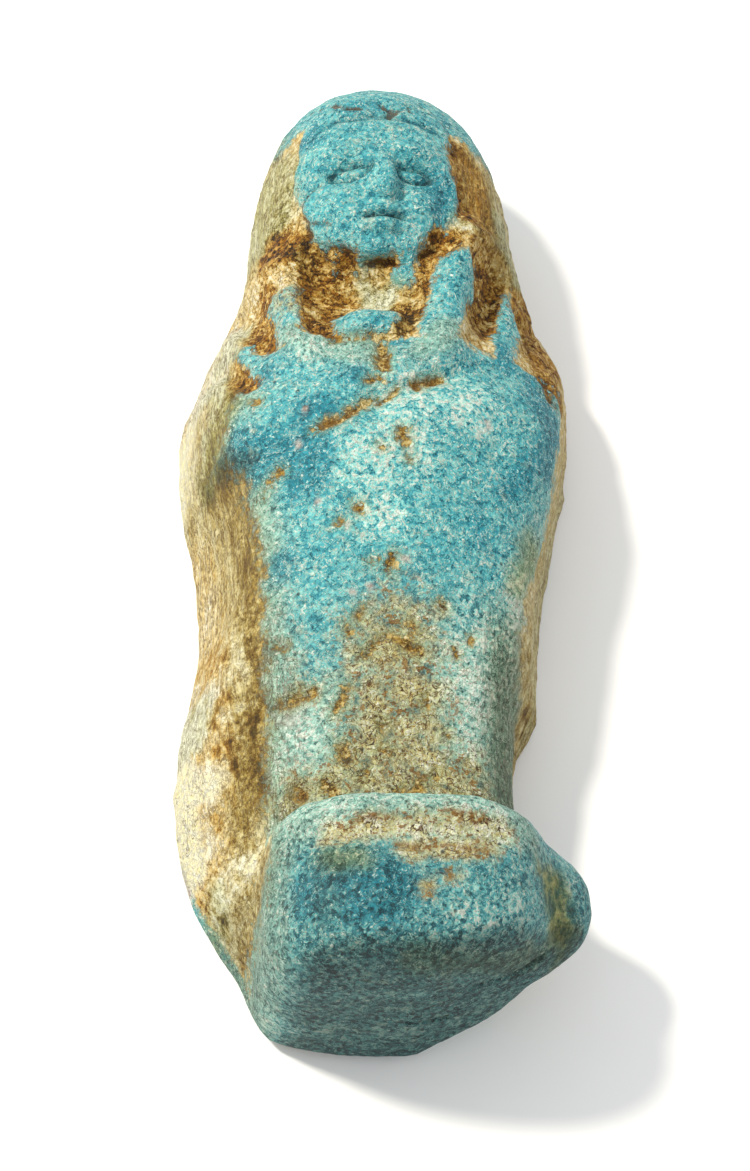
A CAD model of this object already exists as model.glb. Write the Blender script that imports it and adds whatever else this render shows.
"""Looks for a small worn faience ushabti that lies on its flat back on a pale sheet.

The solid's mesh is copied, made finer and carved with low relief: the glaze stands a little proud of the
bare body, and cracks, pits and hollows are cut into it. The same plans of where glaze, dirt and bare body
lie are kept on the mesh as attributes, and the material reads them. Places are [x, s] in millimetres:
x to the figure's left, s from the sole towards the crown. A blot is a line of such places and a radius.
"""
import math

import bmesh
import bpy
import numpy as np
from mathutils import Matrix, Vector


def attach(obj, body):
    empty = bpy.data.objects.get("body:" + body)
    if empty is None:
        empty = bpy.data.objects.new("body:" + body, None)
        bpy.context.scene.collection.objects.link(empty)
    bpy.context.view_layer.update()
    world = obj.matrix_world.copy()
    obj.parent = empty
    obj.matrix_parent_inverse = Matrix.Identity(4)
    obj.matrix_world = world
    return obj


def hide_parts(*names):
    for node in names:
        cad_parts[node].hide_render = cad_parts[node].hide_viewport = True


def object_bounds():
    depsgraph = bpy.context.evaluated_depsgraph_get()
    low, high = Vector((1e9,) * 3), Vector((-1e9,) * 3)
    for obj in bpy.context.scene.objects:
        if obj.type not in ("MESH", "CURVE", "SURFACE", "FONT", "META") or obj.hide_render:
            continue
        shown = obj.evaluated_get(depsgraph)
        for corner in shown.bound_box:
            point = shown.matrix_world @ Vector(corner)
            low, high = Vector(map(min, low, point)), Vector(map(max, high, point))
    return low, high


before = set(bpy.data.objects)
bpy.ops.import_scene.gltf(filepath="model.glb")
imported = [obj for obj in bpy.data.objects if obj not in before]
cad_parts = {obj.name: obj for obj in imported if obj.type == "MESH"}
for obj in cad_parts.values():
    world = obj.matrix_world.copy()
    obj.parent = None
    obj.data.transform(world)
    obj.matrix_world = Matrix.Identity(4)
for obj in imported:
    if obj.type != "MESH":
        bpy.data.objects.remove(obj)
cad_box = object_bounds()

MM = 0.001
MIDLINE = 0.565  # the midline of the face lies this far to the right of the box's middle, in mm
LOW = Vector(cad_box[0])
FAR = 9.0  # in mm, farther than any edge matters


# ------------------------------------------------------------------ where each finish lies

# The front's limits to the figure's right and left, as [s, x]: outside them the bare flanks begin.
RIGHT_LIMIT = [
    [0, -7.2], [2, -7.4], [5, -7.2], [7, -6.8], [11, -6.4], [24, -6.5], [27, -6.6], [30.5, -7.3],
    [33, -8.7], [37, -7.6], [40, -7.0], [46, -6.4], [50, -4.6], [58, -3.6],
]
LEFT_LIMIT = [
    [0, 12], [10, 12], [11, 7.6], [15, 7.2], [21, 7.2], [24, 7.6], [29, 9.1], [33, 10.1], [37, 10.7],
    [40, 10.7], [42, 8.4], [46, 7.0], [50, 4.8], [53, 4.8], [55, 8],
]
# Glaze left standing on the bare breast: lappets, knot and scraps.
BREAST_GLAZE = [
    ([[-4.7, 42.4], [-4.6, 41.0], [-4.2, 38.6]], 1.2), ([[4.9, 44.4], [4.3, 43.0], [3.2, 39.6]], 1.1),
    ([[8.4, 44.4], [8.2, 43.6], [7.7, 41.8], [7.1, 38.6]], 0.65), ([[-1.3, 40.3], [-0.1, 40.5]], 1.15),
    ([[1.9, 44.8], [1.7, 44.0], [1.6, 43.6]], 0.5), ([[-2.2, 45.4], [-1.9, 44.9]], 0.4),
    ([[-7.1, 39.8], [-6.6, 38.4]], 0.6),
]
# Hollows packed with brown soil.
SOIL = [
    ([[-2.9, 44.8], [-3.3, 42.4], [-3.2, 40.2]], 1.0), ([[-1.5, 44.8], [-1.7, 43.2]], 0.6),
    ([[0.4, 44.3], [0.9, 44.4]], 0.5), ([[3.8, 46.0], [3.0, 45.0], [2.8, 44.0]], 0.6),
    ([[1.9, 42.6], [1.7, 41.6]], 0.5), ([[-6.2, 47.4], [-5.4, 46.5]], 0.9),
    ([[-3.9, 45.9], [-3.4, 45.4]], 0.4), ([[-6.9, 44.2], [-6.5, 42.0], [-6.1, 40.0]], 0.7),
    ([[-8.8, 40.4], [-7.7, 38.4], [-7.0, 37.0]], 0.55), ([[5.3, 51.9], [5.7, 50.2], [6.1, 48.3]], 1.1),
    ([[7.0, 46.2], [6.6, 44.6], [6.2, 41.8]], 0.9), ([[9.2, 44.4], [9.4, 43.0], [9.9, 41.3]], 1.1),
    ([[9.6, 38.8], [10.5, 38.7]], 0.4),
]
# Smaller spots where soil sits in a break of the glaze.
SPOTS = [
    ([[-3.4, 32.9], [-2.4, 33.2], [-1.7, 34.0]], 0.26), ([[-1.6, 34.1], [-0.2, 34.6], [0.8, 35.2]], 0.2),
    ([[1.8, 35.7], [3.1, 36.4]], 0.3), ([[-0.9, 35.6], [-0.2, 36.0]], 0.22),
    ([[1.4, 41.7], [1.8, 40.8], [1.3, 39.7]], 0.2), ([[-2.5, 38.9], [-0.8, 38.9], [0.4, 39.2]], 0.16),
    ([[0.0, 38.6], [0.1, 37.9]], 0.3), ([[0.1, 37.5], [0.1, 36.8]], 0.45),
    ([[0.9, 32.4], [1.1, 31.7]], 0.36), ([[-0.3, 31.3]], 0.24), ([[1.2, 30.7]], 0.2),
    ([[-1.6, 27.8]], 0.36), ([[-2.5, 26.9]], 0.26), ([[0.0, 24.2], [0.2, 24.9]], 0.3),
    ([[-0.9, 24.6]], 0.2), ([[-1.6, 21.7]], 0.3), ([[2.8, 22.3]], 0.32), ([[1.1, 21.0]], 0.3),
    ([[3.4, 19.8]], 0.3), ([[-2.3, 21.0]], 0.24), ([[4.3, 20.6]], 0.24),
    ([[-1.4, 19.7], [-0.6, 20.4], [0.4, 20.4], [1.6, 19.9]], 0.22), ([[-6.7, 35.4]], 0.24),
    ([[-4.9, 12.3]], 0.55), ([[-5.0, 10.6], [-4.2, 10.2]], 0.6), ([[-5.9, 17.5], [-4.2, 17.6]], 0.3),
    ([[2.0, 17.0]], 0.25), ([[-2.9, 16.6], [-2.6, 17.4]], 0.25), ([[-6.5, 29.6], [-5.6, 30.4]], 0.16),
    ([[-2.6, 14.4], [-2.4, 13.6]], 0.35), ([[-0.6, 15.6]], 0.25), ([[-6.2, 20.6], [-5.6, 20.4]], 0.2),
    ([[-3.5, 12.4], [-2.8, 11.5]], 0.3), ([[-1.5, 12.9]], 0.28), ([[0.3, 11.8], [1.1, 12.3]], 0.26),
    ([[2.2, 13.0]], 0.26), ([[3.4, 11.6]], 0.3), ([[-0.5, 14.3]], 0.22), ([[2.9, 15.2]], 0.2),
    ([[9.5, 38.8], [10.0, 37.8]], 0.3),
]
# Where the glaze is thin and the body shows between its grains.
THIN = [
    ([[0.6, 20.0], [0.6, 16.0], [0.4, 12.6]], 3.4), ([[-4.4, 12.4], [3.6, 12.4]], 2.4),
    ([[-4.8, 17.6]], 1.0), ([[-4.6, 42.8], [-5.0, 44.6]], 1.1),
]
# The worn band over the toes, and the rust that lies in it and on the folded arms.
TOE_BAND = [
    ([[-3.8, 6.6], [-1.5, 7.0], [2.0, 7.2], [4.6, 7.0]], 0.5), ([[0.0, 5.7], [3.8, 5.9]], 0.5),
    ([[1.9, 4.2]], 0.3), ([[0.7, 3.4]], 0.3),
]
RUST = [
    ([[-2.9, 7.3], [-1.3, 7.5]], 0.2), ([[1.8, 7.6], [3.6, 7.5]], 0.32), ([[-1.0, 5.7], [0.6, 5.8]], 0.16),
    ([[1.2, 5.9], [3.8, 5.8]], 0.22), ([[1.9, 4.2]], 0.25), ([[0.7, 3.4]], 0.15),
    ([[-4.6, 6.3], [-3.6, 6.6]], 0.1), ([[-3.0, 33.0], [-1.8, 33.9]], 0.4),
    ([[1.9, 35.8], [2.9, 36.3]], 0.3), ([[0.1, 37.6], [0.1, 37.0]], 0.4),
]
# Bare body that is clean and nearly white.
CREAM = [
    ([[-11.2, 16.2], [-10.8, 13.0], [-10.4, 10.8]], 1.2), ([[-9.6, 14.4]], 0.8),
    ([[-5.3, 16.5], [-4.6, 16.8]], 0.75), ([[-10.6, 37.6], [-10.8, 33.0]], 0.9),
]
# Ridges of the bare body that are rubbed pale.
RUBBED = [
    ([[-6.8, 46.0], [-5.5, 44.8], [-4.8, 43.7]], 0.6), ([[4.4, 47.2], [6.0, 46.7], [7.6, 46.0]], 0.5),
    ([[-8.0, 43.4], [-8.8, 40.8], [-9.4, 38.6]], 0.9), ([[-6.9, 50.6], [-6.6, 48.8]], 0.5),
]
# Single pale grains and chips.
CHIPS = [
    ([[-4.3, 34.1]], 0.2), ([[5.7, 33.5]], 0.22), ([[-3.6, 28.3]], 0.2), ([[-0.9, 23.0]], 0.2),
    ([[0.8, 24.9]], 0.18), ([[-2.0, 23.1]], 0.18), ([[-4.6, 32.2]], 0.18), ([[-2.2, 26.6]], 0.14),
    ([[-7.2, 9.2], [-7.3, 8.6]], 0.2),
]
# Glaze that pooled thick and deep blue, and glaze rich in pale crystals.
DEEP = [
    ([[-7.9, 32.4], [-7.0, 31.2]], 1.6), ([[-6.6, 32.0], [-4.6, 31.4]], 1.6),
    ([[-3.8, 33.6], [-4.4, 30.0]], 1.4), ([[9.2, 38.2], [9.7, 34.5], [9.2, 32.4]], 0.9),
    ([[8.6, 32.4], [6.6, 29.8]], 0.6), ([[4.6, 28.6], [5.2, 26.0]], 0.4), ([[-3.3, 4.0], [-0.4, 3.6]], 1.1),
    ([[-2.6, 2.4], [-1.4, 1.9]], 0.8), ([[-5.4, 4.0], [-5.0, 3.2]], 0.7), ([[-3.4, 52.6]], 0.7),
    ([[3.4, 49.6], [3.2, 47.6]], 0.8), ([[0.2, 54.6], [-1.4, 54.4]], 0.5), ([[-6.5, 37.4]], 0.7),
    ([[7.2, 40.2], [7.0, 38.8]], 0.6), ([[-1.4, 36.2]], 0.6), ([[0.8, 38.9]], 0.5), ([[-5.6, 25.0]], 0.9),
]
PALE = [
    ([[1.6, 34.4], [4.6, 34.6]], 2.0), ([[4.0, 36.2]], 1.0), ([[7.4, 24.6], [6.4, 19.0]], 1.0),
    ([[1.4, 31.6], [-1.0, 30.6]], 1.8), ([[-4.0, 38.2]], 1.0), ([[-0.4, 27.4]], 1.6),
    ([[2.6, 2.4], [5.2, 3.0]], 0.9), ([[-4.4, 8.1], [0.0, 8.5], [4.6, 8.1]], 0.5),
    ([[-3.8, 7.0], [0.4, 7.0], [4.6, 6.9]], 0.9), ([[4.4, 21.5], [4.2, 17.0]], 1.4),
    ([[-4.6, 15.6], [-4.2, 14.6]], 1.2), ([[3.6, 16.4], [4.0, 14.6]], 0.8),
]
# Stains: olive on the bare body and the glaze's edges, moss on the lump, umber on the right flank.
OLIVE = [
    ([[8.2, 27.6], [7.2, 24.6]], 0.6), ([[-9.3, 35.5], [-9.1, 32.6]], 0.8),
    ([[-8.6, 38.6], [-8.4, 35.6]], 1.2), ([[-8.2, 40.8], [-7.3, 42.6]], 0.9),
    ([[-9.7, 19.8], [-10.2, 17.8]], 0.9), ([[-8.8, 8.8], [-8.6, 6.6]], 0.5),
    ([[-2.6, 5.0], [-4.0, 5.2]], 0.7), ([[-0.4, 43.6], [1.2, 42.2]], 1.2),
    ([[-3.4, 45.0], [-4.2, 46.0]], 0.5), ([[-5.7, 52.6], [-6.0, 48.8]], 1.2),
    ([[-4.9, 53.4], [-5.0, 48.8]], 0.9), ([[7.6, 49.6], [7.4, 47.6], [8.4, 46.4]], 1.1),
    ([[4.6, 47.3], [6.6, 46.9]], 0.5),
]
MOSS = [
    ([[7.4, 5.9], [7.7, 5.0], [7.9, 4.3]], 0.9),
]
UMBER = [
    ([[-7.6, 7.3], [-7.4, 5.2]], 0.7), ([[-6.7, 13.6], [-6.7, 12.6]], 0.5),
    ([[-9.0, 9.8], [-9.4, 9.2]], 0.6), ([[-9.0, 16.4], [-8.6, 17.2]], 0.7),
    ([[-7.6, 15.2], [-7.0, 14.4]], 0.7), ([[-9.4, 22.8]], 0.7), ([[-8.0, 12.0]], 0.5),
    ([[-8.8, 21.4], [-8.3, 18.6]], 0.5), ([[-8.2, 13.4], [-7.8, 10.4]], 0.8),
    ([[-8.9, 7.4], [-8.3, 6.0]], 0.6), ([[-9.9, 11.4]], 0.4), ([[-9.6, 9.0], [-9.2, 7.6]], 0.4),
]
# Cracks in the glaze of the crown.
CRACKS = [
    ([[-2.9, 57.0], [-2.1, 55.9], [-1.6, 54.9], [-0.8, 54.5], [0.3, 54.9], [1.2, 54.4]], 0.22),
    ([[3.3, 56.6], [2.5, 55.6], [2.2, 54.6], [1.2, 54.4], [0.9, 53.9]], 0.24),
    ([[2.5, 55.6], [1.6, 56.5]], 0.12),
]
# The soil in the throat that has dried paler, the chest's weathered patches, and the stained elbow and toe.
THROAT_TAN = [([[-0.4, 43.6], [1.2, 42.2]], 1.2)]
CHEST_FADED = [([[-4.4, 39.4], [-3.0, 38.6], [-0.8, 37.8]], 1.2), ([[1.9, 38.0], [3.8, 39.4]], 0.9)]
ELBOW_STAIN = [([[-8.4, 32.4], [-7.4, 31.8]], 0.7)]
TOE_STAIN = [([[-4.3, 4.6], [-4.2, 2.4]], 0.8)]
# The rounded arch over the toes, and the worn ledge in front of it.
TOE_ARCH = [([[-5.9, 7.2], [-4.5, 8.0], [-2.5, 8.3], [1.6, 8.6], [4.7, 8.2], [6.4, 7.8]], 0.6)]
TOE_LEDGE = [([[-4.8, 6.5], [-3.3, 6.6], [-1.3, 6.7], [2.9, 6.7], [4.5, 6.5]], 0.45)]
# On the sole, as [x, z]: where it is darkest, the crease that runs on from the lump, an olive stain along
# its upper edge, and its paler lower rim.
SOLE_DARK = [([[-3.0, 7.9], [-1.1, 7.7], [0.5, 7.2]], 1.1), ([[-5.0, 5.7]], 0.6), ([[3.4, 7.6]], 0.9)]
SOLE_CREASE = [([[7.2, 8.9], [6.2, 8.7], [4.9, 9.0], [3.4, 9.2]], 0.16), ([[0.5, 6.3], [2.6, 6.0]], 0.12)]
SOLE_OLIVE = [([[0.2, 13.6], [2.3, 12.8], [5.1, 11.2], [7.0, 9.4]], 0.8)]
SOLE_PALE = [([[-6.4, 3.6], [-3.9, 4.6], [-0.8, 4.7], [2.3, 4.9], [4.4, 5.1]], 0.9)]

# Stations along the figure where the glaze's large areas end.
BLOCK_END = 9.2
CHEST_END = 39.0
CROWN_START = 54.6
# The least and the greatest value of the glaze's plan, in mm.
GLAZE_LIMITS = (-2, 1.3)

# The mask: middle x, middle s, half width, half height, squareness.
MASK = (0.4, 50.6, 4.5, 6.0, 2.5)
EYE_LINE = 49.6
# The face's forms: [height, x from the mask's middle, s from the eye line, half width, half height]. Those of
# the first list are on both sides: sockets, eyes, brows, cheeks and the hollows beside the nose. The others
# are the nose and its tip, the two lips and the chin.
PAIRED_FORMS = [
    [-0.42, 1.7, 0.15, 1.6, 1.15],
    [0.44, 1.7, 0.0, 1.05, 0.55],
    [0.30, 1.85, 1.5, 1.9, 0.6],
    [0.24, 2.1, -1.9, 1.5, 1.4],
    [-0.22, 1.0, -1.7, 0.45, 0.5],
]
MIDDLE_FORMS = [
    [0.65, 0, -0.8, 0.7, 1.9],
    [0.30, 0, -1.55, 1.0, 0.6],
    [0.50, 0, -2.62, 1.35, 0.5],
    [0.55, 0, -3.4, 1.2, 0.55],
    [0.34, 0, -4.5, 1.3, 0.7],
]

# Sizes of the material's textures, and the depth of its finest bumps, in mm.
LUMP = 1.1
GRAIN = 0.34
FINE_GRAIN = 0.14
CRYSTAL = 0.25
CURL = 0.36
STROKE = 0.62
FIBRE = 0.34
HOLE = 0.75
CRUMB = 0.46
BUMP_DEPTH = 0.06
# The plans that the mesh keeps for the material.
PLANS = ["glaze", "crack", "patchy", "earth", "cream", "olive", "deep", "pale", "faded", "rust", "shade",
         "fibrous", "moss"]

# The camera: degrees above the floor, round from straight in front of the feet, and of turn about its line
# of sight; then what it looks at and from how far, in mm.
EYE_RISE = 58
EYE_SWING = -12
EYE_TURN = 11.5
EYE_TARGET = (-MIDLINE, -3.18, 5)
EYE_DISTANCE = 195
WINDOW_PLACE = (-0.27, 0.075, 0.39)  # in metres

# Colours from the darkest to the palest tone.
GLAZE = [(0.0, "#0a4c54"), (0.2, "#1a8696"), (0.42, "#50b8be"), (0.6, "#88dcd6"), (0.78, "#c2f6e6"),
         (1.0, "#f6fff0")]
RICH = [(0.0, "#04464e"), (0.22, "#0a7a8a"), (0.45, "#2aa4b2"), (0.7, "#86d4d0"), (1.0, "#e8fff6")]
WEATHERED = [(0.0, "#3a4630"), (0.22, "#768c6c"), (0.42, "#a4c4a2"), (0.62, "#c6e4c8"), (0.85, "#f2fce8")]
THINNED = [(0.05, "#5c3c08"), (0.3, "#a48034"), (0.5, "#d0bd72"), (0.7, "#e4e2ac"), (0.9, "#fcfbe0")]
BROWN = [(0.1, "#3c2400"), (0.5, "#805408"), (0.9, "#bc9444")]
TARNISH = [(0.1, "#3c5a2c"), (0.5, "#8fa268"), (0.9, "#e2e6ae")]
MOSSY = [(0.1, "#1c3818"), (0.45, "#4c6c34"), (0.65, "#b4b050"), (0.85, "#e2d27a")]
CHALK_ON_GLAZE = [(0.1, "#b49a86"), (0.7, "#f4e6d6")]
CHALKY = [(0.05, "#dcb870"), (0.35, "#fff2ac"), (0.75, "#fffff0")]
DARK_LINES = [(0.2, "#2c1800"), (0.8, "#6c4408")]
# Colours from clean body to dark soil.
SANDY = [(0.0, "#fffae0"), (0.18, "#f6e0a4"), (0.36, "#e2be6c"), (0.52, "#be8c2e"), (0.68, "#905a00"),
         (0.84, "#583800"), (1.0, "#261600")]
GREENISH = [(0.0, "#f2f4d2"), (0.3, "#cfd0a0"), (0.5, "#a6a462"), (0.7, "#716a2a"), (1.0, "#302a0a")]


# ------------------------------------------------------------------ noise and plans

def lattice(i, j, k, seed):
    """A steady pseudo-random number from -1 to 1 for each whole-numbered place."""
    h = i * 374761393 + j * 668265263 + k * 2147483647 + seed * 974634777
    h = (h ^ (h >> 13)) * 1274126177 & 0xFFFFFFFF
    h = (h ^ (h >> 16)) * 2246822519 & 0xFFFFFFFF
    return ((h ^ (h >> 15)) & 0xFFFFFF) / 0x7FFFFF - 1.0


def noise(places, size, seed, stretch=(1, 1, 1)):
    """Smooth noise from -1 to 1 whose lumps are about `size` mm across, times stretch along each axis."""
    p = places / (size * np.array(stretch))
    base = np.floor(p).astype(np.int64)
    f = p - base
    f = f * f * f * (f * (f * 6 - 15) + 10)
    total = np.zeros(len(places))
    for corner in range(8):
        d = [(corner >> axis) & 1 for axis in range(3)]
        weight = np.prod([f[:, a] if d[a] else 1 - f[:, a] for a in range(3)], axis=0)
        total += weight * lattice(base[:, 0] + d[0], base[:, 1] + d[1], base[:, 2] + d[2], seed)
    return total


def rough(places, size, octaves, seed, stretch=(1, 1, 1)):
    """Noise with finer noise added, octave by octave."""
    total = sum(noise(places, size / 2**n, seed + 17 * n, stretch) / 2**n for n in range(octaves))
    return total / 1.5


def ramp(value, low, high):
    """0 below low, 1 above high, smooth between."""
    t = np.clip((value - low) / (high - low), 0, 1)
    return t * t * (3 - 2 * t)


def fall(value, low, high):
    """1 below low, 0 above high, smooth between."""
    return ramp(-value, -high, -low)


def near(value, middle, inner, outer):
    """1 within inner of the middle, 0 beyond outer, smooth between."""
    return fall(np.abs(value - middle), inner, outer)


def distance(x, s, line):
    """Distance in plan to a line of [x, s] points, or to one point."""
    if len(line) == 1:
        return np.hypot(x - line[0][0], s - line[0][1])
    nearest = np.full(len(x), np.inf)
    for (x0, s0), (x1, s1) in zip(line, line[1:]):
        run = (x1 - x0) ** 2 + (s1 - s0) ** 2
        t = np.clip(((x - x0) * (x1 - x0) + (s - s0) * (s1 - s0)) / run, 0, 1)
        nearest = np.minimum(nearest, np.hypot(x - x0 - t * (x1 - x0), s - s0 - t * (s1 - s0)))
    return nearest


def inside(x, s, blots):
    """How far inside the nearest blot a point is, in mm, below 0 outside."""
    field = np.full(len(x), -FAR)
    for line, radius in blots:
        field = np.maximum(field, radius - distance(x, s, line))
    return field


def along(at, points):
    """A straight-sided curve through [station, value] points."""
    return np.interp(at, [p[0] for p in points], [p[1] for p in points])


class Surface:
    """The fine mesh's points in millimetres, their normals, and the zones that several plans share.

    xr and sr are slightly ragged copies of x and s, so an edge that is laid out by them wanders a little."""

    def __init__(self, mesh):
        count = len(mesh.vertices)
        co = np.empty(count * 3)
        mesh.vertices.foreach_get("co", co)
        normal = np.empty(count * 3)
        mesh.vertex_normals.foreach_get("vector", normal)
        self.co = co.reshape(-1, 3) / MM
        self.normal = normal.reshape(-1, 3)
        self.x = self.co[:, 0] + MIDLINE
        self.s = self.co[:, 1] - LOW.y / MM
        self.z = self.co[:, 2]
        self.p = np.stack([self.x, self.s, self.z], 1)
        self.xr = self.x + 0.30 * rough(self.p, 1.1, 4, seed=3)
        self.sr = self.s + 0.30 * rough(self.p, 1.1, 4, seed=5)
        self.mottle = rough(self.p, 2.2, 4, seed=61)

        # 1 where the surface faces up, where it faces down, and on the sole
        self.upward = ramp(self.normal[:, 2], -0.2, 0.1) * ramp(self.z, 1.5, 3.0)
        self.below = ramp(-self.normal[:, 2], 0.4, 0.8)
        self.sole = ramp(-self.normal[:, 1], 0.35, 0.8) * fall(self.s, 7, 9)
        # how far inside the right limit, inside both limits and inside the edge of the face, in mm
        self.from_right = self.xr - along(self.sr, RIGHT_LIMIT)
        self.in_front = np.minimum(self.from_right, along(self.sr, LEFT_LIMIT) - self.xr)
        self.face = self.mask_field()
        # 1 on the bare flanks, on the body beside the glaze's right edge, and on the front above the block
        self.flank = fall(self.in_front, -0.8, 0.2)
        self.beside = near(self.in_front, -0.9, 0.3, 1.9) * fall(self.x, -6, -4)
        self.beside *= ramp(self.s, 3, 6) * fall(self.s, 36, 39)
        self.above_block = ramp(self.s, 9, 11) * (1 - self.flank)

    def mask_field(self):
        """How far inside the edge of the face a point is, in mm, its corners a little squared."""
        x, s, wide, high, square = MASK
        across, up = np.abs((self.xr - x) / wide), np.abs((self.sr - s) / high)
        return (1 - (across**square + up**square) ** (1 / square)) * wide

    def inside(self, blots):
        """How far inside the nearest blot a point is, the blots' edges a little ragged."""
        return inside(self.xr, self.sr, blots)

    def patch(self, blots, low, high, ragged=0.0):
        """1 where a point is more than high inside the blots, 0 below low; ragged breaks up the edge."""
        return ramp(self.inside(blots) + ragged * self.mottle, low, high)

    def sole_patch(self, blots, low, high, ragged):
        """The same for blots given as [x, z] on the sole."""
        return self.sole * ramp(inside(self.x, self.z, blots) + ragged * self.mottle, low, high)


def strongest(*plans):
    """The greatest of several plans at every point."""
    return np.maximum.reduce(plans)


def glaze_plan(f, soil, spots):
    """How far inside the glaze a point is, in mm, below 0 on the bare body."""
    chest = np.minimum(f.in_front, CHEST_END - f.sr)
    crown = np.minimum(f.sr - CROWN_START, f.in_front + 1.2) + 1.8 * rough(f.p, 3.6, 4, seed=45)
    block = np.minimum(BLOCK_END - f.sr, f.from_right)
    strip_at_the_table = np.minimum(11.5 - f.sr, 2.0 - f.z - 0.10 * np.maximum(f.sr - 4, 0)) * 1.2
    glaze = strongest(chest, f.face, crown, f.inside(BREAST_GLAZE), block, strip_at_the_table)
    glaze = np.minimum(glaze, -np.maximum(spots, soil) * f.upward + FAR * (1 - f.upward))
    patches_below = 0.3 - 1.2 * ramp(rough(f.p, 3.5, 3, seed=51), -0.2, 0.5)
    return np.clip(glaze * (1 - f.below) + f.below * patches_below, *GLAZE_LIMITS)


def patchy_plan(f):
    """How much of the body shows through thin glaze, 0 to 1."""
    thin = f.inside(THIN) * f.upward + 1.3 * rough(f.p, 2.6, 3, seed=31)
    legs = 0.85 * ramp(thin, -1.6, 2.2) * ramp(f.s, 8.8, 10.0)
    return np.maximum(legs, f.patch(TOE_BAND, -1.0, 0.4) * ramp(f.z, 11, 13))


def earth_plan(f, soil, spots):
    """How dark the bare body or the soil on it is, 0 to 1."""
    x, s = f.x, f.s
    streak = rough(f.p, 0.6, 3, seed=71, stretch=(1, 4, 1))
    dots = ramp(rough(f.p, 0.9, 3, seed=77), 0.15, 0.6)
    right_flank = f.flank * fall(x, -7, -4)
    right_edge = fall(x, -6, -4) * fall(s, 36, 39)
    earth = 0.30 + 0.06 * f.mottle + 0.06 * streak * f.flank
    earth += 0.27 * f.upward * (ramp(soil, -0.9, -0.1) + ramp(spots, -0.5, -0.1))
    earth += 0.18 * ramp(f.inside(UMBER) + 0.6 * rough(f.p, 1.1, 3, seed=63), -0.3, 0.4)
    earth += fall(s, 18, 25) * f.flank * (0.42 * dots - 0.09)
    earth -= 0.05 * f.flank + right_flank * (0.05 + 0.15 * fall(f.in_front, -4.5, -2.0) * ramp(s, 10, 14))
    earth += 0.20 * f.flank * ramp(x, 3, 6) * fall(s, 18, 24)
    earth -= 0.20 * f.patch(THROAT_TAN, -0.6, 0.4)
    earth += (0.17 + 0.10 * streak) * f.beside * (1 - 0.7 * fall(s, 9, 12))
    earth += 0.18 * near(f.in_front, -0.35, 0.3, 0.9) * right_edge * ramp(s, 11, 14)
    earth += 0.12 * fall(x, -5, -4) * ramp(s, 44.5, 46.5) * fall(s, 53, 56)
    return earth - 0.14 * f.patch(RUBBED, -0.6, 0.5, ragged=0.3)


def olive_plan(f, soil, spots):
    """Where the body and the glaze are stained olive, 0 to 1."""
    x, s = f.x, f.s
    wig = f.flank * ramp(s, 44, 48) * (0.45 + 0.3 * f.mottle)
    left_flank = f.flank * ramp(x, 3, 6) * fall(s, 34, 40) * (0.5 + 0.3 * f.mottle)
    left_leg = 0.65 * ramp(x, 4.2, 6.2) * fall(s, 20, 25) * f.above_block
    around_spots = 0.4 * ramp(spots, -0.6, -0.1)
    stains = f.patch(OLIVE, -0.5, 0.6, ragged=0.3)
    olive = strongest(stains, wig, left_flank, 0.6 * f.beside, around_spots, left_leg)
    olive = olive * (1 - 0.8 * ramp(soil, -0.7, 0.1) * f.upward)
    return np.maximum(olive, 0.6 * f.sole_patch(SOLE_OLIVE, -0.8, 0.5, ragged=0.5))


def faded_plan(f, deep):
    """How weathered and grey-green the glaze is, 0 to 1."""
    x, s = f.x, f.s
    above_block = ramp(s, 8.5, 10.5)
    fresher = 0.50 * near(x, -3.6, 0.4, 1.6) * ramp(s, 17, 20)
    legs = fall(s, 17, 26) * above_block * (0.65 - fresher)
    legs += 0.25 * ramp(np.abs(x), 4.5, 6) * fall(s, 20, 24) * above_block
    glaze_edge = 0.75 * near(f.in_front, 0.2, 0.1, 1.8) * fall(s, 36, 40)
    glaze_edge *= 1 - 0.8 * ramp(x, 5, 7) * ramp(s, 27, 30)
    block_edge = 0.6 * near(f.in_front, 0.6, 0.4, 1.6) * fall(s, 7, 9) * fall(x, -6, -4)
    chest = 0.65 * f.patch(CHEST_FADED, -0.6, 0.6, ragged=0.5)
    toes = 0.7 * ramp(s, 5.0, 7.5) * fall(s, 9, 10) * ramp(f.z, 11, 13)
    block = fall(s, 8, 10) * (0.15 + 0.15 * f.sole)
    return strongest(legs, glaze_edge, block_edge, chest, toes, block) * (1 - 0.9 * deep)


def crack_plan(f):
    """How far inside a crack a point is, in mm, below 0 elsewhere."""
    wander = [0.3 * rough(f.p, 1.0, 2, seed=seed) for seed in (7, 8)]
    crown = inside(f.x + wander[0], f.s + wander[1], CRACKS)
    crown -= 0.18 * ramp(noise(f.p, 1.1, seed=9), 0.0, 0.6)
    veins = 0.07 - 1.3 * np.abs(rough(f.p, 3.0, 2, seed=311))
    crazed = np.minimum(veins, 1.2 * noise(f.p, 2.6, seed=313) - 0.1)
    crazed = np.minimum(crazed, np.maximum(f.face, f.sr - CROWN_START)) - ramp(f.face, 1.2, 1.6)
    under_chin = 0.8 * noise(f.p, 1.5, seed=305) + 0.1 - ramp(f.s, 46.5, 48.5)
    chin_gap = np.minimum(0.16 - np.abs(f.face + 0.10), under_chin)
    right_side = 0.8 * noise(f.p, 1.9, seed=307) - fall(f.s, 46, 47) - ramp(f.x, 0, 2)
    side_gap = np.minimum(0.12 - np.abs(f.face + 0.05), right_side)
    sole = inside(f.x, f.z, SOLE_CREASE) - FAR * (1 - f.sole)
    front = strongest(crown, crazed, chin_gap, side_gap) - FAR * (1 - f.upward)
    return np.clip(np.maximum(front, sole), -1, 1)


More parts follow.
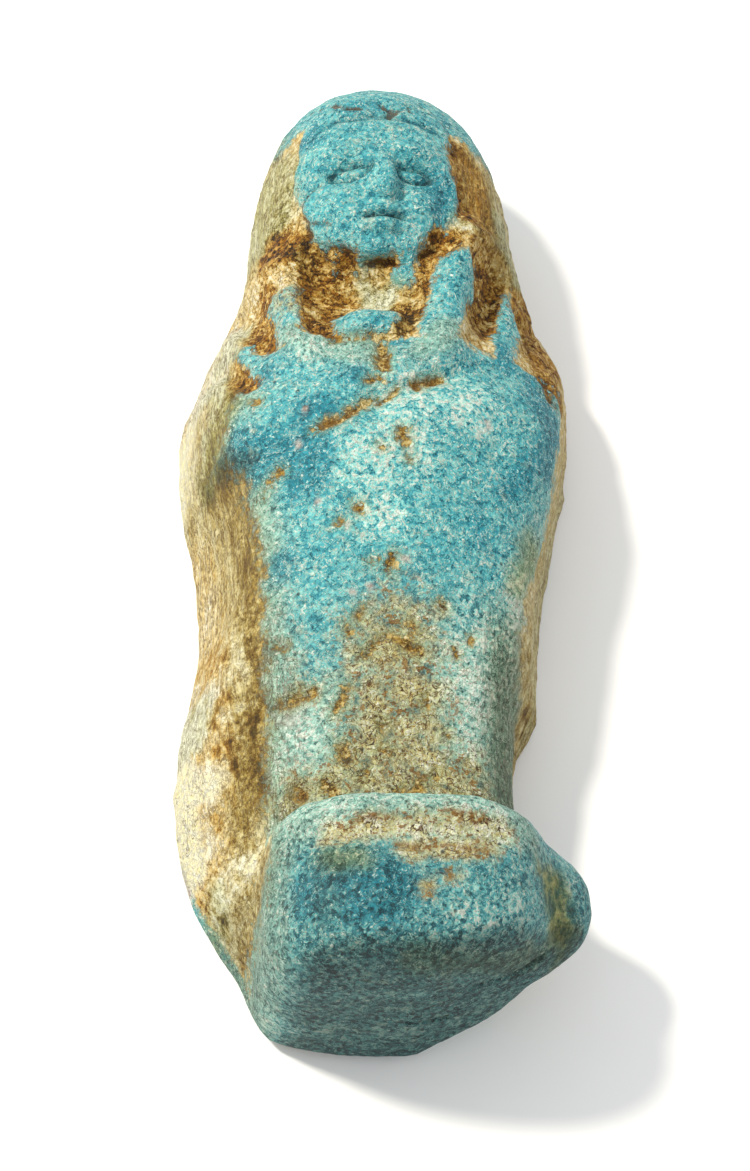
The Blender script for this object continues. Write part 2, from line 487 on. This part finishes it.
def shade_plan(f, patchy):
    """Where the surface is darkened by grime, 0 to 1."""
    x, s = f.x, f.s
    shade = f.sole * ramp(x, -6.5, -2.5) * (0.30 + 0.40 * fall(f.z, 9, 14))
    shade += 0.35 * f.sole_patch(SOLE_DARK, -1.2, 0.8, ragged=0.6)
    shade -= 0.2 * f.sole_patch(SOLE_PALE, -0.9, 0.6, ragged=0.6)
    shade *= 1.0 + 1.1 * rough(f.p, 1.3, 3, seed=87, stretch=(5, 1, 1))
    shade += 0.38 * fall(s, 6, 9) * (1 - patchy) + f.sole * (0.34 - 0.50 * fall(x, -6.5, -4.5))
    shade += 0.8 * f.patch(ELBOW_STAIN, -0.5, 0.5, ragged=0.4)
    shade += 0.35 * f.patch(TOE_STAIN, -0.6, 0.5, ragged=0.4)
    shade += 0.45 * ramp(x, 3.8, 6.4) * fall(s, 19, 25) * f.above_block
    corner = 0.35 * fall(s, 2.0, 4.5) * ramp(x, -6.5, -4.5) * fall(x, -0.5, 1.5)
    return strongest(shade, face_lines(f) * ramp(f.face, 0.3, 1.0), corner)


def fibrous_plan(f, soil):
    """How far the surface is wrinkled lengthwise, 0 to 1."""
    lower_legs = fall(f.s, 20, 26)
    flanks = np.maximum(f.flank, f.beside * fall(f.in_front, -0.1, 0.5)) * (1 - 0.65 * lower_legs)
    leg_edges = 0.8 * ramp(f.s, 9, 11) * lower_legs * ramp(np.maximum(-f.x - 3.8, f.x - 4.4), 0, 1.5)
    loose_soil = ramp(soil, -0.6, 0.2) * f.upward * fall(f.s, 45, 47)
    return np.maximum(flanks, leg_edges) * (1 - 0.8 * loose_soil)


def finishes(f):
    """The plans of glaze, soil and bare body at every point of the surface."""
    spots = f.inside(SPOTS)
    soil = f.inside(SOIL) - 2 * fall(f.z, 6, 8.5) * fall(f.x, -5, -2) - 2 * fall(f.z, 4, 6)
    patchy = patchy_plan(f)
    deep = ramp(f.inside(DEEP) + 0.45 * rough(f.p, 1.4, 3, seed=91), -0.7, 0.9)
    pale = ramp(f.inside(PALE) + 0.6 * rough(f.p, 1.6, 3, seed=97), -0.9, 1.0)
    cream = f.patch(CREAM, -0.35, 0.45, ragged=0.45) * fall(f.z, 7.5, 9.5)
    shares = {
        "patchy": patchy,
        "earth": earth_plan(f, soil, spots),
        "cream": np.maximum(cream, f.patch(CHIPS, -0.12, 0.1) * f.upward),
        "olive": olive_plan(f, soil, spots),
        "deep": deep,
        "pale": np.maximum(pale, 0.5 * f.sole_patch(SOLE_PALE, -0.9, 0.6, ragged=0.6)),
        "faded": faded_plan(f, deep),
        "rust": f.patch(RUST, -0.2, 0.25, ragged=0.15) * f.upward,
        "shade": shade_plan(f, patchy),
        "fibrous": fibrous_plan(f, soil),
        "moss": f.patch(MOSS, -0.6, 0.5, ragged=0.4) * ramp(f.z, 4, 6),
    }
    plans = {name: np.clip(share, 0, 1) for name, share in shares.items()}
    return {"glaze": glaze_plan(f, soil, spots), "crack": crack_plan(f), **plans}


def bump_over(x, s, middle, radii):
    """A smooth round swelling, 1 in the middle and 0 at the radii."""
    return ramp(1 - np.hypot((x - middle[0]) / radii[0], (s - middle[1]) / radii[1]), 0, 1)


def face_relief(f):
    """A calm, worn face in the middle of the mask: brows, eyes, nose, lips and chin, in mm."""
    x, s = f.x - MASK[0], f.s - EYE_LINE
    mirrored = [[height, -across, *rest] for height, across, *rest in PAIRED_FORMS]
    forms = mirrored + PAIRED_FORMS + MIDDLE_FORMS
    out = -0.30 * face_lines(f)
    for height, across, up, wide, high in forms:
        out += height * bump_over(x, s, (across, up), (wide, high))
    return out


def face_lines(f):
    """The face's fine grooves, 0 to 1: the rims of the eyes, the line of the mouth, the band of the wig."""
    x, s = f.x - MASK[0], f.s - EYE_LINE
    eyes = near(np.hypot((np.abs(x) - 1.7) / 1.05, s / 0.52), 1, 0.05, 0.35)
    mouth = near(s + 3.0, 0.05 * x * x, 0.04, 0.22) * fall(np.abs(x), 0.9, 1.3)
    band = 0.5 * near(s - 4.1, -0.06 * x * x, 0.05, 0.4) * fall(np.abs(x), 3.0, 3.8)
    return strongest(0.8 * eyes, mouth, band)


def relief(f, plan):
    """How far each point of the surface moves out along its normal, in mm."""
    upward = ramp(f.normal[:, 2], 0.0, 0.3) * ramp(f.z, 3, 5)
    bare = fall(plan["glaze"], -0.25, 0.25)
    soil = f.patch(SOIL, -0.4, 0.5) * upward
    lift = 0.10 * rough(f.p, 4.0, 3, seed=211) + 0.07 * rough(f.p, 1.3, 3, seed=221)
    lift += (1 - bare) * (0.10 + 0.03 * rough(f.p, 0.5, 2, seed=201))
    lift += bare * 0.07 * rough(f.p, 0.62, 2, seed=231)
    lift += soil * (0.20 * rough(f.p, 0.75, 2, seed=235) - 0.20)
    lift += plan["patchy"] * 0.07 * rough(f.p, 0.8, 2, seed=233)
    lift += plan["fibrous"] * 0.07 * rough(f.p, 0.5, 2, seed=241, stretch=(1, 4, 1))
    lift += plan["fibrous"] * 0.13 * fall(f.s, 18, 25) * rough(f.p, 0.9, 2, seed=243, stretch=(1, 1.6, 1))
    lift -= 0.14 * f.patch(SPOTS, -0.2, 0.3) * upward
    lift -= 0.22 * ramp(plan["crack"], -0.12, 0.12)
    knob = 0.40 * bump_over(f.x, f.s, (-0.85, 40.4), (1.9, 1.5))
    mask = 0.28 * ramp(f.face, -0.15, 0.35) + face_relief(f) * ramp(f.face, 0.2, 1.2)
    lift += (knob + mask) * upward
    toes = ramp(f.z, 13.5, 14.5) * fall(f.s, 9, 10)
    swell = ramp(1 - np.hypot((f.xr + 3.2) / 2.5, (f.sr - 4.0) / 2.3), 0, 0.25)
    swell += bump_over(f.x, f.s, (-1.6, 3.4), (4, 3))
    lift += toes * (0.14 * f.patch(TOE_ARCH, -0.4, 0.4) - 0.18 * f.patch(TOE_LEDGE, -0.3, 0.3) + 0.17 * swell)
    return lift


# ------------------------------------------------------------------ the figurine

def fine_copy(node):
    """A copy of the solid's mesh, its triangles paired into four-sided faces and divided twice."""
    piece = bpy.data.objects.new("faience_figurine", node.data.copy())
    bpy.context.collection.objects.link(piece)
    piece.data.materials.clear()
    form = bmesh.new()
    form.from_mesh(piece.data)
    bmesh.ops.remove_doubles(form, verts=form.verts, dist=0.001 * MM)
    any_angle = {"angle_face_threshold": math.pi, "angle_shape_threshold": math.pi}
    bmesh.ops.join_triangles(form, faces=form.faces, **any_angle)
    for face in form.faces:
        face.smooth = True
    form.to_mesh(piece.data)
    form.free()
    finer = piece.modifiers.new("finer", "SUBSURF")
    finer.levels = finer.render_levels = 2
    finer.use_limit_surface = False
    smooth = bpy.data.meshes.new_from_object(piece.evaluated_get(bpy.context.evaluated_depsgraph_get()))
    piece.modifiers.clear()
    piece.data = smooth
    piece.data.name = piece.name
    return piece


def carve(piece):
    """Moves the fine mesh's points by the relief, and keeps the plans on it for the material."""
    mesh = piece.data
    surface = Surface(mesh)
    plans = finishes(surface)
    lift = relief(surface, plans) * ramp(surface.z, 0.15, 1.2)
    moved = surface.co + surface.normal * lift[:, None]
    moved[:, 2] = np.maximum(moved[:, 2], 0)
    mesh.vertices.foreach_set("co", (moved * MM).ravel())
    for name, plan in plans.items():
        mesh.attributes.new(name, "FLOAT", "POINT").data.foreach_set("value", plan.astype(np.float32))
    mesh.update()


# ------------------------------------------------------------------ materials

def linear(code, strength=1.0):
    """A colour written as #rrggbb, in the renderer's own linear values, times a strength."""
    parts = [int(code[i : i + 2], 16) / 255 for i in (1, 3, 5)]
    return [strength * (c / 12.92 if c < 0.04045 else ((c + 0.055) / 1.055) ** 2.4) for c in parts] + [1.0]


class Nodes:
    """Short ways to add the nodes of one material. Its colours are written as they look in full studio light,
    and strength brings them down to what the stuff itself reflects."""

    def __init__(self, name, strength=1.0):
        self.material = bpy.data.materials.new(name)
        self.material.use_nodes = True
        self.tree = self.material.node_tree
        self.shader = self.tree.nodes["Principled BSDF"]
        self.strength = strength

    def add(self, kind, **settings):
        node = self.tree.nodes.new("ShaderNode" + kind)
        for name, value in settings.items():
            setattr(node, name, value)
        return node

    def put(self, value, socket):
        """Sets a socket to a number or colour, or links it to another node's output."""
        if isinstance(value, bpy.types.NodeSocket):
            self.tree.links.new(value, socket)
        elif isinstance(value, str):
            socket.default_value = linear(value, self.strength)
        else:
            socket.default_value = value

    def attribute(self, name):
        return self.add("Attribute", attribute_name=name).outputs["Fac"]

    def math(self, operation, a, b=0.0, c=0.0):
        node = self.add("Math", operation=operation)
        for value, socket in zip((a, b, c), node.inputs):
            self.put(value, socket)
        return node.outputs[0]

    def times(self, a, b):
        return self.math("MULTIPLY", a, b)

    def rest_of(self, whole, share, strength):
        """The whole less a share of it times a strength."""
        return self.math("SUBTRACT", whole, self.times(share, strength))

    def total(self, base, *parts):
        """A base plus each (value, weight)."""
        for value, weight in parts:
            base = self.math("MULTIPLY_ADD", value, weight, base)
        return base

    def mix(self, factor, a, b, blend="MIX"):
        node = self.add("Mix", data_type="RGBA", blend_type=blend)
        self.put(factor, node.inputs["Factor"])
        self.put(a, node.inputs[6])
        self.put(b, node.inputs[7])
        return node.outputs[2]

    def step(self, value, low, high):
        """0 below low, 1 above high, smooth between; falling where low is the greater."""
        node = self.add("MapRange", interpolation_type="SMOOTHSTEP")
        self.put(value, node.inputs["Value"])
        node.inputs["From Min"].default_value = low
        node.inputs["From Max"].default_value = high
        return node.outputs[0]

    def shades(self, value, stops):
        """Colours along a value: each stop is (place, colour)."""
        node = self.add("ValToRGB")
        self.put(value, node.inputs[0])
        elements = node.color_ramp.elements
        while len(elements) < len(stops):
            elements.new(0.5)
        for element, (place, code) in zip(elements, stops):
            element.position = place
            element.color = linear(code, self.strength)
        return node.outputs[0]

    def millimetres(self, stretch=(1, 1, 1)):
        """Object coordinates in millimetres, drawn out along an axis where stretch is over 1."""
        mapping = self.add("Mapping")
        mapping.inputs["Scale"].default_value = [1 / MM / part for part in stretch]
        self.put(self.add("TexCoord").outputs["Object"], mapping.inputs["Vector"])
        return mapping.outputs[0]

    def noise(self, places, size, detail=2.0, roughness=0.5, distortion=0.0):
        """Noise from about -1 to 1."""
        node = self.add("TexNoise")
        self.put(places, node.inputs["Vector"])
        node.inputs["Scale"].default_value = 1 / size
        node.inputs["Detail"].default_value = detail
        node.inputs["Roughness"].default_value = roughness
        node.inputs["Distortion"].default_value = distortion
        return self.math("MULTIPLY_ADD", node.outputs["Fac"], 4.0, -2.0)

    def wander(self, places, size, amount):
        """Places shifted this way and that, by about amount, in lumps of the given size."""
        node = self.add("TexNoise")
        self.put(places, node.inputs["Vector"])
        node.inputs["Scale"].default_value = 1 / size
        shift = self.add("VectorMath", operation="MULTIPLY_ADD")
        self.put(node.outputs["Color"], shift.inputs[0])
        shift.inputs[1].default_value = [4 * amount] * 3
        self.put(places, shift.inputs[2])
        return shift.outputs[0]

    def cells(self, places, size, output, feature="F1"):
        """Grains of the given size: their colours, or the distance to their middles or edges."""
        node = self.add("TexVoronoi", feature=feature)
        self.put(places, node.inputs["Vector"])
        node.inputs["Scale"].default_value = 1 / size
        return node.outputs[output]

    def cell_tones(self, places, size):
        """A steady tone from -0.5 to 0.5 for each cell."""
        return self.math("SUBTRACT", self.cells(places, size, "Color"), 0.5)

    def threads(self, noise, width):
        """1 along the thin wandering lines where a noise passes through its middle."""
        return self.step(self.math("ABSOLUTE", noise), width, 0.0)


class Faience(Nodes):
    """Grainy turquoise glaze, worn through to a tan sandy body, with brown soil in the hollows.

    Each plan that the mesh keeps is at hand under its own name."""

    def __init__(self):
        super().__init__("worn_faience", 0.60)
        self.here = self.millimetres()
        lengthwise = self.millimetres(stretch=(1, 5, 1))
        for plan in PLANS:
            setattr(self, plan, self.attribute(plan))
        self.lumps = self.noise(self.here, LUMP, roughness=0.6)
        self.grain = self.noise(self.here, GRAIN, roughness=0.75)
        self.fine = self.noise(self.here, FINE_GRAIN, detail=1)
        self.crystal = self.cell_tones(self.here, CRYSTAL)
        curl = self.noise(self.here, CURL, detail=1.5, distortion=1.6)
        self.threaded = self.times(self.threads(curl, width=0.20), self.step(self.grain, -0.7, 0.3))
        self.furrows = self.threads(self.math("ADD", curl, 0.55), width=0.22)
        self.fibre = self.noise(lengthwise, FIBRE, roughness=0.7, distortion=0.4)
        self.loose = self.rest_of(1.0, self.fibrous, 0.75)
        broken = self.wander(self.here, size=0.35, amount=0.22)
        crumb_edges = self.cells(broken, CRUMB, "Distance", "DISTANCE_TO_EDGE")
        self.gaps = self.times(self.step(crumb_edges, 0.14, 0.0), self.step(self.grain, -0.5, 0.5))
        self.crumbs = self.cell_tones(broken, CRUMB)
        ragged_edge = self.total(self.glaze, (self.lumps, 0.14), (self.grain, 0.20), (self.crystal, 0.30))
        blurred_edge = self.times(ragged_edge, self.rest_of(1.0, self.fibrous, 0.68))
        self.uncovered = self.step(blurred_edge, 0.20, -0.20)

    def glaze_tone(self):
        """How pale each grain of the glaze is, 0 to 1. Pale and grimy glaze is also grainier."""
        tone = self.total(0.45, (self.grain, 0.19), (self.crystal, 0.36), (self.fine, 0.10),
                          (self.lumps, 0.12), (self.threaded, 0.64), (self.furrows, -0.33))
        tone = self.total(tone, (self.pale, 0.22), (self.deep, -0.11), (self.shade, -0.22))
        pale_grains = self.times(self.pale, self.total(0.0, (self.crystal, 0.4), (self.grain, 0.18)))
        grimy_grains = self.times(self.shade, self.total(0.0, (self.crystal, 0.28), (self.grain, 0.12)))
        return self.total(tone, (pale_grains, 1.0), (grimy_grains, 1.0))

    def glaze_colour(self, tone):
        """The glaze, deep blue where it pooled, grey-green where it weathered, brown where it wore thin."""
        pooled = self.total(self.deep, (self.lumps, 0.16), (self.grain, 0.12), (self.crystal, 0.2))
        colour = self.mix(self.step(pooled, 0.1, 0.8), self.shades(tone, GLAZE), self.shades(tone, RICH))
        colour = self.mix(self.times(self.faded, 0.9), colour, self.shades(tone, WEATHERED))

        thin_tone = self.total(0.47, (self.grain, 0.24), (self.crystal, 0.40), (self.threaded, 0.44),
                               (self.furrows, -0.34), (self.lumps, 0.14), (self.pale, 0.24))
        thin = self.step(self.total(self.patchy, (self.lumps, 0.38), (self.grain, 0.22)), 0.10, 1.15)
        colour = self.mix(self.times(thin, 0.95), colour, self.shades(thin_tone, THINNED))

        holes = self.step(self.cells(self.here, HOLE, "Distance"), 0.20, 0.10)
        holes = self.times(holes, self.step(self.lumps, -0.2, 0.6))
        colour = self.mix(self.times(holes, 0.8), colour, "#12393c")

        soiled = self.total(0.0, (self.lumps, -0.8), (self.grain, 0.8), (self.crystal, 0.8))
        soiled = self.step(self.times(self.patchy, self.step(soiled, 0.25, 0.85)), 0.0, 0.7)
        brown_tone = self.total(0.5, (self.fine, 0.2), (self.crystal, 0.5))
        return self.mix(self.times(soiled, 0.9), colour, self.shades(brown_tone, BROWN))

    def body_colour(self):
        """The bare body and the soil on it."""
        crumby = self.times(self.total(0.25, (self.earth, 1.2)), self.loose)
        dirt = self.total(self.earth, (self.fine, 0.08), (self.lumps, 0.04),
                          (self.times(self.crumbs, crumby), 0.50), (self.times(self.gaps, crumby), 0.24),
                          (self.times(self.grain, self.loose), 0.17),
                          (self.times(self.crystal, self.loose), 0.26),
                          (self.times(self.fibre, self.fibrous), 0.12))
        colour = self.mix(self.times(self.olive, 0.85), self.shades(dirt, SANDY), self.shades(dirt, GREENISH))
        chalk_tone = self.total(0.55, (self.grain, 0.18), (self.fine, 0.08))
        return self.mix(self.cream, colour, self.shades(chalk_tone, CHALKY))

    def stained(self, colour, tone):
        """Rust, tarnish, moss and chalk over both glaze and body."""
        colour = self.mix(self.times(self.rust, self.step(self.grain, -0.5, 0.3)), colour, "#8c6420")
        tarnish = self.times(self.olive, self.rest_of(0.75, self.uncovered, 0.75))
        colour = self.mix(tarnish, colour, self.shades(tone, TARNISH))
        moss_tone = self.total(0.5, (self.lumps, 0.30), (self.grain, 0.15), (self.crystal, 0.2))
        colour = self.mix(self.times(self.moss, 0.85), colour, self.shades(moss_tone, MOSSY))
        chalk = self.times(self.cream, self.rest_of(0.85, self.uncovered, 0.85))
        return self.mix(chalk, colour, self.shades(tone, CHALK_ON_GLAZE))

    def dark_lines(self):
        """How strong the dark strokes, the wrinkles' hollows and the cracks are, 0 to 1."""
        stroke_noise = self.noise(self.here, STROKE, roughness=0.7, distortion=0.9)
        strokes = self.times(self.threads(stroke_noise, width=0.18), self.step(self.lumps, -0.3, 0.3))
        strokes = self.times(strokes, self.total(0.30, (self.patchy, 0.7), (self.faded, 0.5)))
        wrinkles = self.times(self.threads(self.fibre, width=0.28), self.step(self.grain, -0.7, 0.1))
        wrinkles = self.times(self.times(wrinkles, self.fibrous), self.rest_of(0.85, self.cream, 0.68))
        cracks = self.step(self.total(self.crack, (self.grain, 0.06), (self.crystal, 0.10)), -0.05, 0.10)
        return self.math("MAXIMUM", self.math("MAXIMUM", strokes, wrinkles), cracks)

    def build(self):
        """Puts colour, roughness and the finest bumps on the shader."""
        tone = self.glaze_tone()
        colour = self.mix(self.uncovered, self.glaze_colour(tone), self.body_colour())
        colour = self.stained(colour, tone)
        line_tone = self.total(0.5, (self.grain, 0.3))
        colour = self.mix(self.times(self.dark_lines(), 0.85), colour, self.shades(line_tone, DARK_LINES))
        colour = self.mix(self.times(self.shade, 0.7), colour, "#668a86", "MULTIPLY")
        self.put(colour, self.shader.inputs["Base Color"])

        roughness = self.total(0.72, (self.uncovered, 0.15), (self.fine, 0.08))
        self.put(roughness, self.shader.inputs["Roughness"])
        self.shader.inputs["Specular IOR Level"].default_value = 0.35

        soil_gaps = self.times(self.gaps, self.times(self.uncovered, self.loose))
        height = self.total(0.0, (self.grain, 0.8), (self.crystal, 0.6), (self.threaded, 0.8),
                            (self.times(self.fibre, self.fibrous), 1.6), (soil_gaps, -1.8),
                            (self.uncovered, -0.5))
        bump = self.add("Bump")
        bump.inputs["Strength"].default_value = 1.0
        bump.inputs["Distance"].default_value = BUMP_DEPTH * MM
        self.put(height, bump.inputs["Height"])
        self.put(bump.outputs[0], self.shader.inputs["Normal"])
        return self.material


def sheet_paper():
    n = Nodes("pale_sheet")
    n.put("#f4f2ee", n.shader.inputs["Base Color"])
    n.shader.inputs["Roughness"].default_value = 0.95
    n.shader.inputs["Specular IOR Level"].default_value = 0.1
    return n.material


# ------------------------------------------------------------------ camera, floor and light

def aim(thing, place, target, turn=0.0):
    """Puts a camera or light at a place, looking at a target and turned about its line of sight."""
    look = (Vector(target) - Vector(place)).to_track_quat("-Z", "Y").to_matrix()
    thing.matrix_world = Matrix.Translation(Vector(place)) @ (look @ Matrix.Rotation(turn, 3, "Z")).to_4x4()


def camera():
    """Looks down from beyond the feet, a little from the figure's right; the crown leans to the right."""
    rise, swing, turn = (math.radians(angle) for angle in (EYE_RISE, EYE_SWING, EYE_TURN))
    target = Vector(EYE_TARGET) * MM
    back = Vector((math.sin(swing) * math.cos(rise), -math.cos(swing) * math.cos(rise), math.sin(rise)))
    lens = bpy.data.cameras.new("camera")
    lens.lens = 108.5
    lens.sensor_width = 36
    lens.clip_start = 0.01
    eye = bpy.data.objects.new("camera", lens)
    bpy.context.collection.objects.link(eye)
    aim(eye, target + back * EYE_DISTANCE * MM, target, turn)
    bpy.context.scene.camera = eye


def window():
    """One soft light from beyond the figure's right shoulder."""
    light = bpy.data.lights.new("window", "AREA")
    light.shape = "DISK"
    light.size = 0.075
    light.energy = 2.75
    light.color = linear("#fff9ee")[:3]
    thing = bpy.data.objects.new("window", light)
    bpy.context.collection.objects.link(thing)
    aim(thing, WINDOW_PLACE, (0, 0, 0))


def studio():
    """A pale sheet to lie on, the window, and even light from the room."""
    floor = bpy.data.meshes.new("sheet_floor")
    flat = bmesh.new()
    bmesh.ops.create_grid(flat, x_segments=1, y_segments=1, size=1.5)
    flat.to_mesh(floor)
    flat.free()
    sheet = bpy.data.objects.new("sheet_floor", floor)
    bpy.context.collection.objects.link(sheet)
    floor.materials.append(sheet_paper())
    window()
    world = bpy.data.worlds.new("room")
    world.use_nodes = True
    world.node_tree.nodes["Background"].inputs["Color"].default_value = linear("#f8fbff")
    world.node_tree.nodes["Background"].inputs["Strength"].default_value = 0.95
    bpy.context.scene.world = world
    bpy.context.scene.view_settings.view_transform = "Standard"


# ------------------------------------------------------------------ the scene

camera()
studio()
figurine = fine_copy(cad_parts["figurine"])
carve(figurine)
figurine.data.materials.append(Faience().build())
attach(figurine, "root")
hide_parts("figurine")
